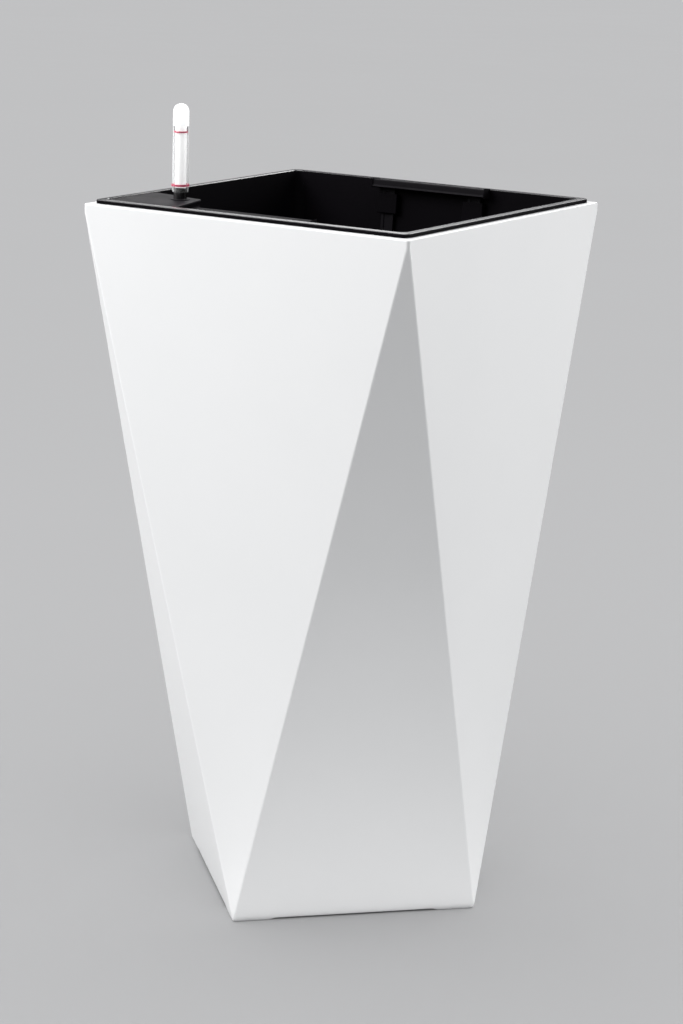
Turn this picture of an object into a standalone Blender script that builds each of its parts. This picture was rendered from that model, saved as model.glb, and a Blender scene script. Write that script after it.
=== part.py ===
"""Tall faceted self watering planter: white outer shell, lift-out black liner, reservoir and gauge.

The shell is a square antiprism: its square mouth and its square base are turned 45 degrees to each
other, so eight triangular facets join them. The mouth's sides lie along X and Y. The liner hangs by
its rim on the shell's lip. Inside the liner a perforated separator stands over the water reservoir,
soil cups reach down into it, and a corner shaft takes the filling water and the level gauge.
"""
import math

import bmesh
import bpy
from mathutils import Matrix, Vector

# ---------------------------------------------------------------- driving dimensions, metres
TOP_SIDE = 0.395            # shell mouth, outside, edge to edge
BASE_SIDE = 0.2655          # shell base, outside, turned 45 degrees to the mouth
SHELL_HEIGHT = 0.750
SHELL_WALL = 0.0045
CREASE_RADIUS = 0.0025
LIP_THICKNESS = 0.005
MOUTH_SIDE = 0.369          # clear opening inside the shell's lip
MOUTH_CORNER = 0.009
BASE_RELIEF = 0.0018        # how far the base is raised between its four corner feet
BASE_RELIEF_SHARE = 0.70    # share of each base edge that is raised
FIT = 0.0003                # gap between pieces that touch

RIM_SIDE = 0.3795
RIM_HEIGHT = 0.0042
RIM_CORNER = 0.0075
LINER_TOP_SIDE = 0.367      # liner wall, outside, under the rim
LINER_BASE_SIDE = 0.312
LINER_DEPTH = 0.335
LINER_WALL = 0.0025
LINER_FLOOR = 0.003
LINER_TOP_CORNER = 0.010
LINER_BASE_CORNER = 0.030
BASE_ROUND = 0.004          # rounded edge round the liner's floor

RESERVOIR_DEPTH = 0.075
SEPARATOR_PLATE = 0.0025
SEPARATOR_SKIRT = 0.012
CUP_OFFSET = 0.070          # soil cups, from the axis along X and Y
CUP_RADIUS = 0.0235
LEG_REACH = 0.118           # separator's legs, from the axis

SHELL_PLUG_RADIUS = 0.009
LINER_PLUG_RADIUS = 0.010

GAUGE = (-0.1256, -0.1256)  # the gauge's vertical axis, in the left front corner
GAUGE_TOP = 0.1035          # heights over the shell's top edge
MAX_MARK = 0.0742
MIN_MARK = 0.0190
NECK_TOP = 0.0165
TUBE_FOOT = 0.0120
TUBE_RADIUS = 0.0088
TUBE_WALL = 0.0010
NECK_RADIUS = 0.0071
ROD_RADIUS = 0.0060
ROD_TOP = 0.1003
FLOAT_LENGTH = 0.042
FLOAT_RADIUS = 0.0064
GUIDE_RADIUS = 0.0088       # the long tube that the float runs in
GUIDE_BORE = 0.0074

GRIP_LENGTH = 0.143
GRIP_HEIGHT = 0.0085
GRIP_DEPTH = 0.013
GRIP_DROP = 0.0008          # grip's top under the rim's top
GRIP_ROUND = 0.0018
LEG_OFFSET = 0.055
LEG_WIDTH = 0.016
LEG_THICKNESS = 0.003
LEG_GAP = 0.0012            # between a leg and the liner's wall
LEG_FOOT = 0.108            # leg's lower end under the rim's top, along the wall
STOP_HEIGHT = 0.005
GUIDE_TOP = 0.016
GUIDE_HEIGHT = 0.022
GUIDE_DEPTH = 0.0068
GUIDE_PLAY = 0.0006

# ---------------------------------------------------------------- worked-out dimensions
RIM_UNDERSIDE = SHELL_HEIGHT + FIT
RIM_TOP = RIM_UNDERSIDE + RIM_HEIGHT
LINER_BOTTOM = RIM_TOP - LINER_DEPTH
FLOOR = LINER_BOTTOM + LINER_FLOOR
SEPARATOR_TOP = FLOOR + RESERVOIR_DEPTH
INNER_TOP = LINER_TOP_SIDE / 2 - LINER_WALL
INNER_BASE = LINER_BASE_SIDE / 2 - LINER_WALL
WALL_SLOPE = (INNER_TOP - INNER_BASE) / (RIM_TOP - FLOOR - BASE_ROUND)
WALL_TILT = math.atan(WALL_SLOPE)
COVER_TOP = RIM_TOP - 0.0008
COVER_THICKNESS = 0.0025
COVER_UNDERSIDE = COVER_TOP - COVER_THICKNESS
SHAFT_TOP = COVER_UNDERSIDE - FIT
COLLAR = COVER_TOP + FIT    # underside of the gauge neck's flange
HOLE_RADIUS = GUIDE_RADIUS + 0.0005
SOCKET_RADIUS = HOLE_RADIUS + 0.0022
NECK_BORE = ROD_RADIUS + 0.0003
FLOAT_TRAVEL = ROD_TOP - MIN_MARK

# Corner shaft outlines, anticlockwise from the liner's corner: corner, side, inner tip, side.
SHAFT_FOOT_OUTLINE = ((-0.1515, -0.1515), (-0.0980, -0.1515), (-0.1120, -0.1120), (-0.1515, -0.0980))
COVER_OUTLINE = ((-0.1801, -0.1801), (-0.0935, -0.1801), (-0.1095, -0.1095), (-0.1801, -0.0935))
SHAFT_FOOT_RADII = (0.0280, 0.0040, 0.0050, 0.0040)
COVER_RADII = (0.0095, 0.0020, 0.0050, 0.0020)
SHAFT_WALL = 0.002

CORNER_STEPS = 5
MERGE = 0.00002

WHITE = ("shell_white", (0.86, 0.86, 0.86), 0.32)
BLACK = ("liner_black", (0.018, 0.017, 0.020), 0.42)
DARK_GREY = ("separator_grey", (0.060, 0.060, 0.065), 0.50)
RUBBER = ("seal_rubber", (0.025, 0.025, 0.025), 0.75)
CLEAR = ("gauge_clear", (0.90, 0.92, 0.93), 0.08)
RED = ("mark_red", (0.70, 0.07, 0.13), 0.35)
ROD_WHITE = ("rod_white", (0.88, 0.88, 0.88), 0.35)
STEEL = ("stem_steel", (0.62, 0.62, 0.63), 0.30, 1.0)
FOAM = ("float_foam", (0.82, 0.80, 0.74), 0.85)


# ---------------------------------------------------------------- scene and material helpers
def clear_scene():
    for item in list(bpy.data.objects):
        bpy.data.objects.remove(item)


def new_collection(name):
    group = bpy.data.collections.new(name)
    bpy.context.scene.collection.children.link(group)
    return group


def material(name, colour, roughness, metallic=0.0):
    found = bpy.data.materials.get(name)
    if found:
        return found
    made = bpy.data.materials.new(name)
    made.use_nodes = True
    made.diffuse_color = (*colour, 1.0)
    shader = made.node_tree.nodes["Principled BSDF"]
    shader.inputs["Base Color"].default_value = (*colour, 1.0)
    shader.inputs["Roughness"].default_value = roughness
    shader.inputs["Metallic"].default_value = metallic
    return made


def add_mesh(name, bm, look=None, parent=None):
    """Turns a bmesh into an object; without a look it is a cutter or a shape to be joined."""
    mesh = bpy.data.meshes.new(name)
    bm.to_mesh(mesh)
    bm.free()
    item = bpy.data.objects.new(name, mesh)
    if look:
        PARTS.objects.link(item)
        mesh.materials.append(material(*look))
        mesh.shade_smooth()
        mesh.set_sharp_from_angle(angle=math.radians(35))
    else:
        TOOLS.objects.link(item)
        item.hide_render = True
        item.display_type = "WIRE"
    item.parent = parent
    return item


# ---------------------------------------------------------------- modelling helpers
def box(name, low, high, look=None, parent=None):
    low, high = Vector(low), Vector(high)
    bm = bmesh.new()
    bmesh.ops.create_cube(bm, size=1.0, matrix=Matrix.LocRotScale((low + high) / 2, None, high - low))
    return add_mesh(name, bm, look, parent)


def cylinder(name, radius, bottom, top, at=(0, 0), look=None, segments=32, top_radius=None):
    bm = bmesh.new()
    upper = radius if top_radius is None else top_radius
    place = Matrix.Translation((at[0], at[1], (bottom + top) / 2))
    bmesh.ops.create_cone(bm, cap_ends=True, segments=segments, radius1=radius, radius2=upper,
                          depth=top - bottom, matrix=place)
    return add_mesh(name, bm, look)


def turned(name, profile, look=None, at=(0, 0), closed=True, steps=28):
    """A profile of (radius, height), run down its outer side, turned about a vertical axis."""
    bm = bmesh.new()
    points = [bm.verts.new((radius, 0, height)) for radius, height in profile]
    for first, second in zip(points, points[1:]):
        bm.edges.new((first, second))
    if closed:
        bm.edges.new((points[-1], points[0]))
    item = add_mesh(name, bm, look)
    item.location = (at[0], at[1], 0)
    screw = item.modifiers.new("turn", "SCREW")
    screw.steps = steps
    screw.render_steps = steps
    screw.use_merge_vertices = True
    screw.merge_threshold = MERGE
    screw.use_smooth_shade = False
    return item


def rounded_outline(corners, radii):
    """The corners of a convex outline, each rounded with an arc."""
    points = []
    count = len(corners)
    for index, radius in enumerate(radii):
        corner = Vector(corners[index])
        before = (Vector(corners[index - 1]) - corner).normalized()
        after = (Vector(corners[(index + 1) % count]) - corner).normalized()
        half_angle = before.angle(after) / 2
        centre = corner + (before + after).normalized() * (radius / math.sin(half_angle))
        start = corner + before * (radius / math.tan(half_angle)) - centre
        sweep = math.pi - 2 * half_angle
        for step in range(CORNER_STEPS + 1):
            turn = Matrix.Rotation(sweep * step / CORNER_STEPS, 2)
            points.append(centre + turn @ start)
    return points


def inset(corners, distance):
    """The outline with every side moved inwards."""
    moved = []
    for index, corner in enumerate(corners):
        corner = Vector(corner)
        before = (corner - Vector(corners[index - 1])).normalized()
        after = (Vector(corners[(index + 1) % len(corners)]) - corner).normalized()
        inward = Vector((-before.y, before.x)) + Vector((-after.y, after.x))
        moved.append(corner + inward * (distance / (1 + before.dot(after))))
    return moved


def ring(corners, radii, height):
    return [(point.x, point.y, height) for point in rounded_outline(corners, radii)]


def square_ring(side, radius, height):
    half = side / 2
    corners = ((-half, -half), (half, -half), (half, half), (-half, half))
    return ring(corners, (radius,) * 4, height)


def lofted(name, rings, look=None, loop=False):
    """A closed solid through rings of equal count, capped at its ends or run round as a loop."""
    bm = bmesh.new()
    rows = [[bm.verts.new(point) for point in points] for points in rings]
    pairs = list(zip(rows, rows[1:]))
    if loop:
        pairs.append((rows[-1], rows[0]))
    else:
        bm.faces.new(rows[0])
        bm.faces.new(rows[-1])
    for lower, upper in pairs:
        for index in range(len(lower)):
            after = (index + 1) % len(lower)
            bm.faces.new((lower[index], lower[after], upper[after], upper[index]))
    bmesh.ops.recalc_face_normals(bm, faces=bm.faces)
    return add_mesh(name, bm, look)


def antiprism(name, top_side, base_side, bottom, top, look=None):
    """The convex body between a square base on its corner and a square top along the axes."""
    bm = bmesh.new()
    for quarter in range(4):
        for side, height, start in ((base_side, bottom, 0), (top_side, top, math.pi / 4)):
            angle = start + quarter * math.pi / 2
            reach = side / math.sqrt(2)
            bm.verts.new((reach * math.cos(angle), reach * math.sin(angle), height))
    bmesh.ops.convex_hull(bm, input=bm.verts)
    bmesh.ops.dissolve_limit(bm, angle_limit=math.radians(1), verts=bm.verts, edges=bm.edges)
    bmesh.ops.recalc_face_normals(bm, faces=bm.faces)
    return add_mesh(name, bm, look)


def combine(target, other, operation):
    step = target.modifiers.new(other.name, "BOOLEAN")
    step.operation = operation
    step.object = other
    step.solver = "EXACT"


def cut(target, other):
    combine(target, other, "DIFFERENCE")


def join(target, other):
    combine(target, other, "UNION")


def round_edges(target, width, segments=2, angle=30):
    step = target.modifiers.new("rounding", "BEVEL")
    step.width = width
    step.segments = segments
    step.limit_method = "ANGLE"
    step.angle_limit = math.radians(angle)


# ---------------------------------------------------------------- outer shell
def outer_shell():
    shell = antiprism("outer_shell", TOP_SIDE, BASE_SIDE, 0, SHELL_HEIGHT, WHITE)
    round_edges(shell, CREASE_RADIUS)
    cavity = antiprism("shell_cavity", TOP_SIDE - 2 * SHELL_WALL, BASE_SIDE - math.sqrt(2) * SHELL_WALL,
                       SHELL_WALL + BASE_RELIEF, SHELL_HEIGHT - LIP_THICKNESS)
    cut(shell, cavity)
    mouth = lofted("shell_mouth", [square_ring(MOUTH_SIDE, MOUTH_CORNER, SHELL_HEIGHT - 2 * LIP_THICKNESS),
                                   square_ring(MOUTH_SIDE, MOUTH_CORNER, SHELL_HEIGHT + LIP_THICKNESS)])
    cut(shell, mouth)
    for turn in (0, 1):
        relief = box(f"base_relief_{turn}", (-BASE_RELIEF_SHARE * BASE_SIDE / 2, -BASE_SIDE, -BASE_RELIEF),
                     (BASE_RELIEF_SHARE * BASE_SIDE / 2, BASE_SIDE, BASE_RELIEF))
        relief.rotation_euler.z = math.pi / 4 + turn * math.pi / 2
        cut(shell, relief)
    cut(shell, cylinder("shell_drain", SHELL_PLUG_RADIUS + FIT, -0.01, 0.02))


def shell_drain_plug():
    seat = SHELL_WALL + BASE_RELIEF + FIT
    radius = SHELL_PLUG_RADIUS
    turned("shell_drain_plug", [(0, seat + 0.012), (0.004, seat + 0.012), (0.004, seat + 0.003),
                                (0.0135, seat + 0.0025), (0.0135, seat), (radius, seat),
                                (radius - 0.0005, BASE_RELIEF + 0.0005), (0, BASE_RELIEF + 0.0005)],
           RUBBER, closed=False)


# ---------------------------------------------------------------- liner and its plug
def liner():
    rings = [
        square_ring(LINER_BASE_SIDE - 2 * BASE_ROUND, LINER_BASE_CORNER - BASE_ROUND, LINER_BOTTOM),
        square_ring(LINER_BASE_SIDE, LINER_BASE_CORNER, LINER_BOTTOM + BASE_ROUND),
        square_ring(LINER_TOP_SIDE, LINER_TOP_CORNER, RIM_UNDERSIDE),
        square_ring(RIM_SIDE, RIM_CORNER, RIM_UNDERSIDE),
        square_ring(RIM_SIDE, RIM_CORNER, RIM_TOP - 0.0008),
        square_ring(RIM_SIDE - 0.0016, RIM_CORNER - 0.0008, RIM_TOP),
        square_ring(2 * INNER_TOP, LINER_TOP_CORNER - LINER_WALL, RIM_TOP),
        square_ring(2 * INNER_BASE, LINER_BASE_CORNER - LINER_WALL, FLOOR + BASE_ROUND),
        square_ring(2 * (INNER_BASE - BASE_ROUND), LINER_BASE_CORNER - LINER_WALL - BASE_ROUND, FLOOR),
    ]
    body = lofted("liner", rings, BLACK)
    cut(body, cylinder("liner_drain", LINER_PLUG_RADIUS + FIT, LINER_BOTTOM - 0.01, FLOOR + 0.01))


def liner_drain_plug():
    """A push-in plug with a soft seal ring between its head and the liner's underside."""
    seal_top = LINER_BOTTOM - FIT
    seal_bottom = seal_top - 0.0015
    head_top = seal_bottom - FIT
    radius = LINER_PLUG_RADIUS
    turned("plug_seal", [(radius + FIT, seal_top), (radius + 0.0045, seal_top),
                         (radius + 0.0050, seal_top - 0.0007), (radius + 0.0045, seal_bottom),
                         (radius + FIT, seal_bottom)], RUBBER)
    turned("liner_drain_plug", [(0, FLOOR + 0.001), (radius - 0.001, FLOOR + 0.001), (radius, FLOOR),
                                (radius, head_top), (radius + 0.006, head_top),
                                (radius + 0.006, head_top - 0.003), (radius - 0.002, head_top - 0.0035),
                                (radius - 0.002, head_top - 0.010), (0, head_top - 0.010)],
           DARK_GREY, closed=False)


# ---------------------------------------------------------------- handles
def wall_frame(side, turn):
    """An empty at the middle of a wall's inner top edge: Z up along the wall, Y into the wall."""
    frame = bpy.data.objects.new(f"{side}_wall_frame", None)
    PARTS.objects.link(frame)
    reach = Matrix.Rotation(turn, 3, "Z") @ Vector((0, INNER_TOP, RIM_TOP))
    frame.location = reach
    frame.rotation_euler = (-WALL_TILT, 0, turn)
    return frame


def handle(side, frame):
    """A grip bar with two flat legs; a wide stop on each leg ends its travel under the guide."""
    grip_back = -0.0005
    grip_foot = -GRIP_DROP - GRIP_HEIGHT
    leg_back = -LEG_GAP
    leg_front = leg_back - LEG_THICKNESS
    grip = box(f"handle_{side}", (-GRIP_LENGTH / 2, grip_back - GRIP_DEPTH, grip_foot),
               (GRIP_LENGTH / 2, grip_back, -GRIP_DROP), BLACK, frame)
    round_edges(grip, GRIP_ROUND)
    for index, centre in enumerate((-LEG_OFFSET, LEG_OFFSET)):
        leg = box(f"{side}_leg_{index}", (centre - LEG_WIDTH / 2, leg_front, -LEG_FOOT + STOP_HEIGHT / 2),
                  (centre + LEG_WIDTH / 2, leg_back, grip_foot + GRIP_HEIGHT / 2), None, frame)
        stop = box(f"{side}_stop_{index}", (centre - 0.7 * LEG_WIDTH, leg_front - 0.0004, -LEG_FOOT),
                   (centre + 0.7 * LEG_WIDTH, leg_back + 0.0004, -LEG_FOOT + STOP_HEIGHT), None, frame)
        join(grip, leg)
        join(grip, stop)


def handle_guides(side, frame):
    """A channel on the wall round each leg, open towards the wall."""
    slot_front = -LEG_GAP - LEG_THICKNESS - GUIDE_PLAY
    for label, centre in (("left", -LEG_OFFSET), ("right", LEG_OFFSET)):
        inner = LEG_WIDTH / 2 + GUIDE_PLAY
        outer = inner + 0.0040
        guide = box(f"handle_guide_{side}_{label}", (centre - outer, -GUIDE_DEPTH, -GUIDE_TOP - GUIDE_HEIGHT),
                    (centre + outer, -FIT, -GUIDE_TOP), BLACK, frame)
        slot = box(f"guide_slot_{side}_{label}", (centre - inner, slot_front, -GUIDE_TOP - 2 * GUIDE_HEIGHT),
                   (centre + inner, GUIDE_DEPTH, GUIDE_TOP), None, frame)
        round_edges(guide, 0.0008, segments=1)
        cut(guide, slot)


# ---------------------------------------------------------------- separator, cups and shaft
def separator():
    half = INNER_BASE + WALL_SLOPE * (SEPARATOR_TOP - SEPARATOR_SKIRT - FLOOR - BASE_ROUND) - 0.001
    side = 2 * half
    corner = 0.0265
    skirt = 0.002
    plate_underside = SEPARATOR_TOP - SEPARATOR_PLATE
    rings = [
        square_ring(side - 0.002, corner - 0.001, SEPARATOR_TOP),
        square_ring(side, corner, SEPARATOR_TOP - 0.001),
        square_ring(side, corner, SEPARATOR_TOP - SEPARATOR_SKIRT),
        square_ring(side - 2 * skirt, corner - skirt, SEPARATOR_TOP - SEPARATOR_SKIRT),
        square_ring(side - 2 * skirt, corner - skirt, plate_underside),
    ]
    body = lofted("separator", rings, DARK_GREY)
    outline = inset(SHAFT_FOOT_OUTLINE, -0.0008)
    opening = lofted("separator_shaft_hole", [ring(outline, SHAFT_FOOT_RADII, SEPARATOR_TOP - 0.030),
                                              ring(outline, SHAFT_FOOT_RADII, SEPARATOR_TOP + 0.010)])
    cut(body, opening)
    for index, (x, y) in enumerate(cup_places()):
        cut(body, cylinder(f"cup_hole_{index}", CUP_RADIUS + 0.0005, SEPARATOR_TOP - 0.02,
                           SEPARATOR_TOP + 0.01, (x, y), segments=28))
    for index, (x, y) in enumerate(air_hole_places()):
        cut(body, cylinder(f"air_hole_{index}", 0.0035, SEPARATOR_TOP - 0.005, SEPARATOR_TOP + 0.005,
                           (x, y), segments=10))


def separator_legs():
    """Tapered legs under the plate's edges, which hold it over the water."""
    top = SEPARATOR_TOP - SEPARATOR_PLATE - FIT
    places = ((LEG_REACH, 0), (0, LEG_REACH), (-LEG_REACH, 0), (0, -LEG_REACH))
    for index, place in enumerate(places, start=1):
        cylinder(f"separator_leg_{index}", 0.007, FLOOR + FIT, top, place, DARK_GREY, segments=20,
                 top_radius=0.010)


def cup_places():
    return [(x * CUP_OFFSET, y * CUP_OFFSET) for x in (-1, 1) for y in (-1, 1)]


def air_hole_places():
    """A cross of small holes between the cups and the legs."""
    places = [(0, 0)]
    for reach in (0.022, 0.044, 0.066, 0.088):
        places += [(reach, 0), (0, reach), (-reach, 0), (0, -reach)]
    return places


def soil_cups():
    """Baskets that hang through the separator and dip the soil in the water."""
    top = SEPARATOR_TOP + FIT
    foot = FLOOR + FIT
    radius = CUP_RADIUS
    wall = 0.0015
    profile = [
        (radius + 0.0045, top + 0.0015), (radius + 0.0045, top), (radius, top),
        (radius - 0.0050, foot), (0, foot), (0, foot + wall),
        (radius - 0.0050 - wall, foot + wall), (radius - wall, top + 0.0015),
    ]
    slit = box("cup_slit_x", (-0.1, -0.0015, 0), (0.1, 0.0015, 0.030))
    for index, (x, y) in enumerate(cup_places(), start=1):
        cup = turned(f"soil_cup_{index}", profile, DARK_GREY, (x, y), steps=24)
        for turn in range(3):
            cutter = bpy.data.objects.new(f"cup_slit_{index}_{turn}", slit.data)
            TOOLS.objects.link(cutter)
            cutter.hide_render = True
            cutter.display_type = "WIRE"
            cutter.location = (x, y, foot + 0.012)
            cutter.rotation_euler.z = turn * math.pi / 3 + 0.13
            cutter.scale.x = 0.3
            cut(cup, cutter)


def supply_shaft():
    """A thin corner channel for the filling water, flared at its mouth to the cover's outline."""
    mouth = inset(COVER_OUTLINE, 0.0008)
    mouth_radii = tuple(max(radius - 0.0008, 0.0012) for radius in COVER_RADII)
    levels = [
        (SHAFT_FOOT_OUTLINE, SHAFT_FOOT_RADII, FLOOR + BASE_ROUND + FIT),
        (SHAFT_FOOT_OUTLINE, SHAFT_FOOT_RADII, RIM_TOP - 0.055),
        (mouth, mouth_radii, RIM_TOP - 0.014),
        (mouth, mouth_radii, SHAFT_TOP),
    ]
    outside = [ring(corners, radii, height) for corners, radii, height in levels]
    inside = []
    for corners, radii, height in levels:
        thinner = tuple(max(radius - SHAFT_WALL, 0.0006) for radius in radii)
        inside.append(ring(inset(corners, SHAFT_WALL), thinner, height))
    shaft = lofted("supply_shaft", outside + inside[::-1], BLACK, loop=True)
    for index, (low, high) in enumerate((((-0.135, -0.115), (-0.120, -0.100)),
                                         ((-0.115, -0.135), (-0.100, -0.120)))):
        slot = box(f"shaft_slot_{index}", (*low, FLOOR - 0.01), (*high, FLOOR + 0.020))
        cut(shaft, slot)


def shaft_cover():
    """The flush corner plate with a plug-in skirt and the gauge's socket."""
    skirt_foot = COVER_UNDERSIDE - 0.006
    skirt_wall = 0.0015
    clearance = 0.0008 + SHAFT_WALL + 0.0006

    def level(distance, height):
        radii = tuple(max(radius - distance, 0.0005) for radius in COVER_RADII)
        return ring(inset(COVER_OUTLINE, distance), radii, height)

    cover = lofted("shaft_cover", [
        level(0.0006, COVER_TOP), level(0, COVER_TOP - 0.0006), level(0, COVER_UNDERSIDE),
        level(clearance, COVER_UNDERSIDE), level(clearance, skirt_foot),
        level(clearance + skirt_wall, skirt_foot), level(clearance + skirt_wall, COVER_UNDERSIDE)], BLACK)
    join(cover, cylinder("cover_socket", SOCKET_RADIUS, COVER_UNDERSIDE - 0.014, COVER_TOP - 0.001, GAUGE))
    cut(cover, cylinder("cover_hole", HOLE_RADIUS, COVER_UNDERSIDE - 0.03, COVER_TOP + 0.01, GAUGE))


# ---------------------------------------------------------------- water level gauge
def gauge_neck():
    """Black collar that rests on the cover and carries the clear tube."""
    top = SHELL_HEIGHT + NECK_TOP
    profile = [
        (NECK_BORE, top), (NECK_RADIUS - 0.0004, top), (NECK_RADIUS, top - 0.0004),
        (NECK_RADIUS, COLLAR + 0.0010), (0.0106, COLLAR + 0.0007), (0.0108, COLLAR),
        (NECK_RADIUS, COLLAR), (NECK_RADIUS, COLLAR - 0.020), (NECK_BORE, COLLAR - 0.020),
    ]
    turned("gauge_neck", profile, BLACK, GAUGE)


def gauge_guide_tube():
    """Long tube down the shaft that keeps the float upright; open slots let the water in."""
    top = COLLAR - FIT
    foot = FLOOR + 0.0015
    tube = turned("gauge_guide_tube", [(GUIDE_BORE, top), (GUIDE_RADIUS, top), (GUIDE_RADIUS, foot),
                                       (GUIDE_BORE, foot)], BLACK, GAUGE, steps=24)
    for turn in (0, 1):
        slot = box(f"guide_tube_slot_{turn}", (-0.015, -0.002, foot + 0.006), (0.015, 0.002, foot + 0.060))
        slot.location = (*GAUGE, 0)
        slot.rotation_euler.z = math.pi / 4 + turn * math.pi / 2
        cut(tube, slot)


def gauge_tube():
    """Clear dome-ended tube over the indicator rod."""
    foot = SHELL_HEIGHT + TUBE_FOOT
    top = SHELL_HEIGHT + GAUGE_TOP
    radius = TUBE_RADIUS
    bore = radius - TUBE_WALL
    steps = 5
    dome = [(radius * math.sin(math.radians(90 * step / steps)),
             top - radius + radius * math.cos(math.radians(90 * step / steps))) for step in range(steps + 1)]
    inner = [(bore * math.cos(math.radians(90 * step / steps)),
              top - radius + bore * math.sin(math.radians(90 * step / steps))) for step in range(steps + 1)]
    turned("gauge_tube", dome + [(radius, foot), (bore, foot)] + inner, CLEAR, GAUGE, closed=False)


def gauge_marks():
    """The upper mark is a thin band inside the tube; the lower one is a wider band round it."""
    inner_band = TUBE_RADIUS - TUBE_WALL - FIT
    outer_band = TUBE_RADIUS + FIT
    for name, height, low, high in (("max_ring", MAX_MARK, inner_band - 0.0007, inner_band),
                                    ("min_ring", MIN_MARK, outer_band, outer_band + 0.0007)):
        top = SHELL_HEIGHT + height + 0.0009
        turned(name, [(low, top), (high, top), (high, top - 0.0018), (low, top - 0.0018)], RED, GAUGE)


def float_pieces():
    """White indicator rod, its stem and the foam float, at the top of their travel."""
    top = SHELL_HEIGHT + ROD_TOP
    foot = SHELL_HEIGHT + MIN_MARK - 0.012
    crown = 0.0025
    radius = ROD_RADIUS
    turned("indicator_rod", [(0, top), (radius - crown, top), (radius - 0.0006, top - 0.0010),
                             (radius, top - crown), (radius, foot), (0, foot)],
           ROD_WHITE, GAUGE, closed=False)
    float_foot = FLOOR + 0.003 + FLOAT_TRAVEL
    float_top = float_foot + FLOAT_LENGTH
    stem = 0.0012
    turned("float_stem", [(0, foot - FIT), (stem, foot - FIT), (stem, float_top + FIT), (0, float_top + FIT)],
           STEEL, GAUGE, closed=False, steps=12)
    edge = 0.002
    radius = FLOAT_RADIUS
    turned("float_body", [(0, float_top), (radius - edge, float_top), (radius, float_top - edge),
                          (radius, float_foot + edge), (radius - edge, float_foot), (0, float_foot)],
           FOAM, GAUGE, closed=False, steps=20)


# ---------------------------------------------------------------- assembly
clear_scene()
PARTS = new_collection("self_watering_planter")
TOOLS = new_collection("cutters")

outer_shell()
shell_drain_plug()
liner()
liner_drain_plug()
for wall, heading in (("back", 0.0), ("front", math.pi)):
    wall_empty = wall_frame(wall, heading)
    handle(wall, wall_empty)
    handle_guides(wall, wall_empty)
separator()
separator_legs()
soil_cups()
supply_shaft()
shaft_cover()
gauge_neck()
gauge_guide_tube()
gauge_tube()
gauge_marks()
float_pieces()
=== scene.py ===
"""Looks of the tall faceted self watering planter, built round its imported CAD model.

Every piece is rebuilt finer than its CAD node, in the same frame and at the same size, and rides on
the node's body. Lengths are metres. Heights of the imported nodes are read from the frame.
"""
import math

import bmesh
import bpy
from mathutils import Matrix, Quaternion, Vector


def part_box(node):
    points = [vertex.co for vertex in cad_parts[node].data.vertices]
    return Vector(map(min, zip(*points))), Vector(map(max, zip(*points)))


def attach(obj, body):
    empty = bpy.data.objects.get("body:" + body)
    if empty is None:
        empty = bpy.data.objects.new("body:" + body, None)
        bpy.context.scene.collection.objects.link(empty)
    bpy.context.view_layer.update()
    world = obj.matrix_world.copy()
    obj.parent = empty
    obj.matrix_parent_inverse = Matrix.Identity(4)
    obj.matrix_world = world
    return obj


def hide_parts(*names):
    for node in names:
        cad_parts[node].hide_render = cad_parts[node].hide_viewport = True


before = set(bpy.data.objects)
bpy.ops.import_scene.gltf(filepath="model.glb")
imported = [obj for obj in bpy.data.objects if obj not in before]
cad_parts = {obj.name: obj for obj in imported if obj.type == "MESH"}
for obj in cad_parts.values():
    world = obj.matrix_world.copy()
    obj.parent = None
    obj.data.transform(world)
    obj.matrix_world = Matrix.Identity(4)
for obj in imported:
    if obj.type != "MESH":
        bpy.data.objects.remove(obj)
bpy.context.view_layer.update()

# ---------------------------------------------------------------- heights read from the frame
SHELL_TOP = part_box("outer_shell")[1].z
RIM_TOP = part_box("liner")[1].z
LINER_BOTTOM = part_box("liner")[0].z
COVER_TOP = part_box("shaft_cover")[1].z
SEPARATOR_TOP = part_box("separator")[1].z
TUBE_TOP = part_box("gauge_tube")[1].z
TUBE_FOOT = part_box("gauge_tube")[0].z
NECK_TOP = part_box("gauge_neck")[1].z
MAX_MARK = (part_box("max_ring")[0].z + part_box("max_ring")[1].z) / 2
MIN_MARK = (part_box("min_ring")[0].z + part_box("min_ring")[1].z) / 2
ROD_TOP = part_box("indicator_rod")[1].z
ROD_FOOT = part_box("indicator_rod")[0].z
FLOAT_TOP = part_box("float_body")[1].z
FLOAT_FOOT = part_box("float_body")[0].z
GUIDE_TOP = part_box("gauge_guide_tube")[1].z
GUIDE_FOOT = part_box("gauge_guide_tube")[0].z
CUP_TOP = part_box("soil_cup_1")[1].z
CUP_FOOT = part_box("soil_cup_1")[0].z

# ---------------------------------------------------------------- shell dimensions
TOP_SIDE = 0.395
BASE_SIDE = 0.2655
WALL = 0.0045
CREASE = 0.0040             # radius along the edges between facets
LIP = 0.005
MOUTH_HALF = 0.1845
MOUTH_CORNER = 0.009
BASE_RELIEF = 0.0018        # the base is raised by this between its corner feet
FOOT_DEPTH = 0.024
DRAIN = 0.0093
FLOOR_ROUND = 0.004

# ---------------------------------------------------------------- liner dimensions
RIM_HALF = 0.18975
RIM_CORNER = 0.0075
LINER_WALL = 0.0025
LINER_FLOOR = 0.003
LINER_TOP_HALF = 0.1835
LINER_BASE_HALF = 0.156
LINER_TOP_CORNER = 0.010
LINER_BASE_CORNER = 0.030
LINER_ROUND = 0.004
LINER_DRAIN = 0.0103
RIM_UNDERSIDE = RIM_TOP - 0.0042
FLOOR = LINER_BOTTOM + LINER_FLOOR
INNER_TOP = LINER_TOP_HALF - LINER_WALL
INNER_BASE = LINER_BASE_HALF - LINER_WALL
WALL_SLOPE = (INNER_TOP - INNER_BASE) / (RIM_TOP - FLOOR - LINER_ROUND)

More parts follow.
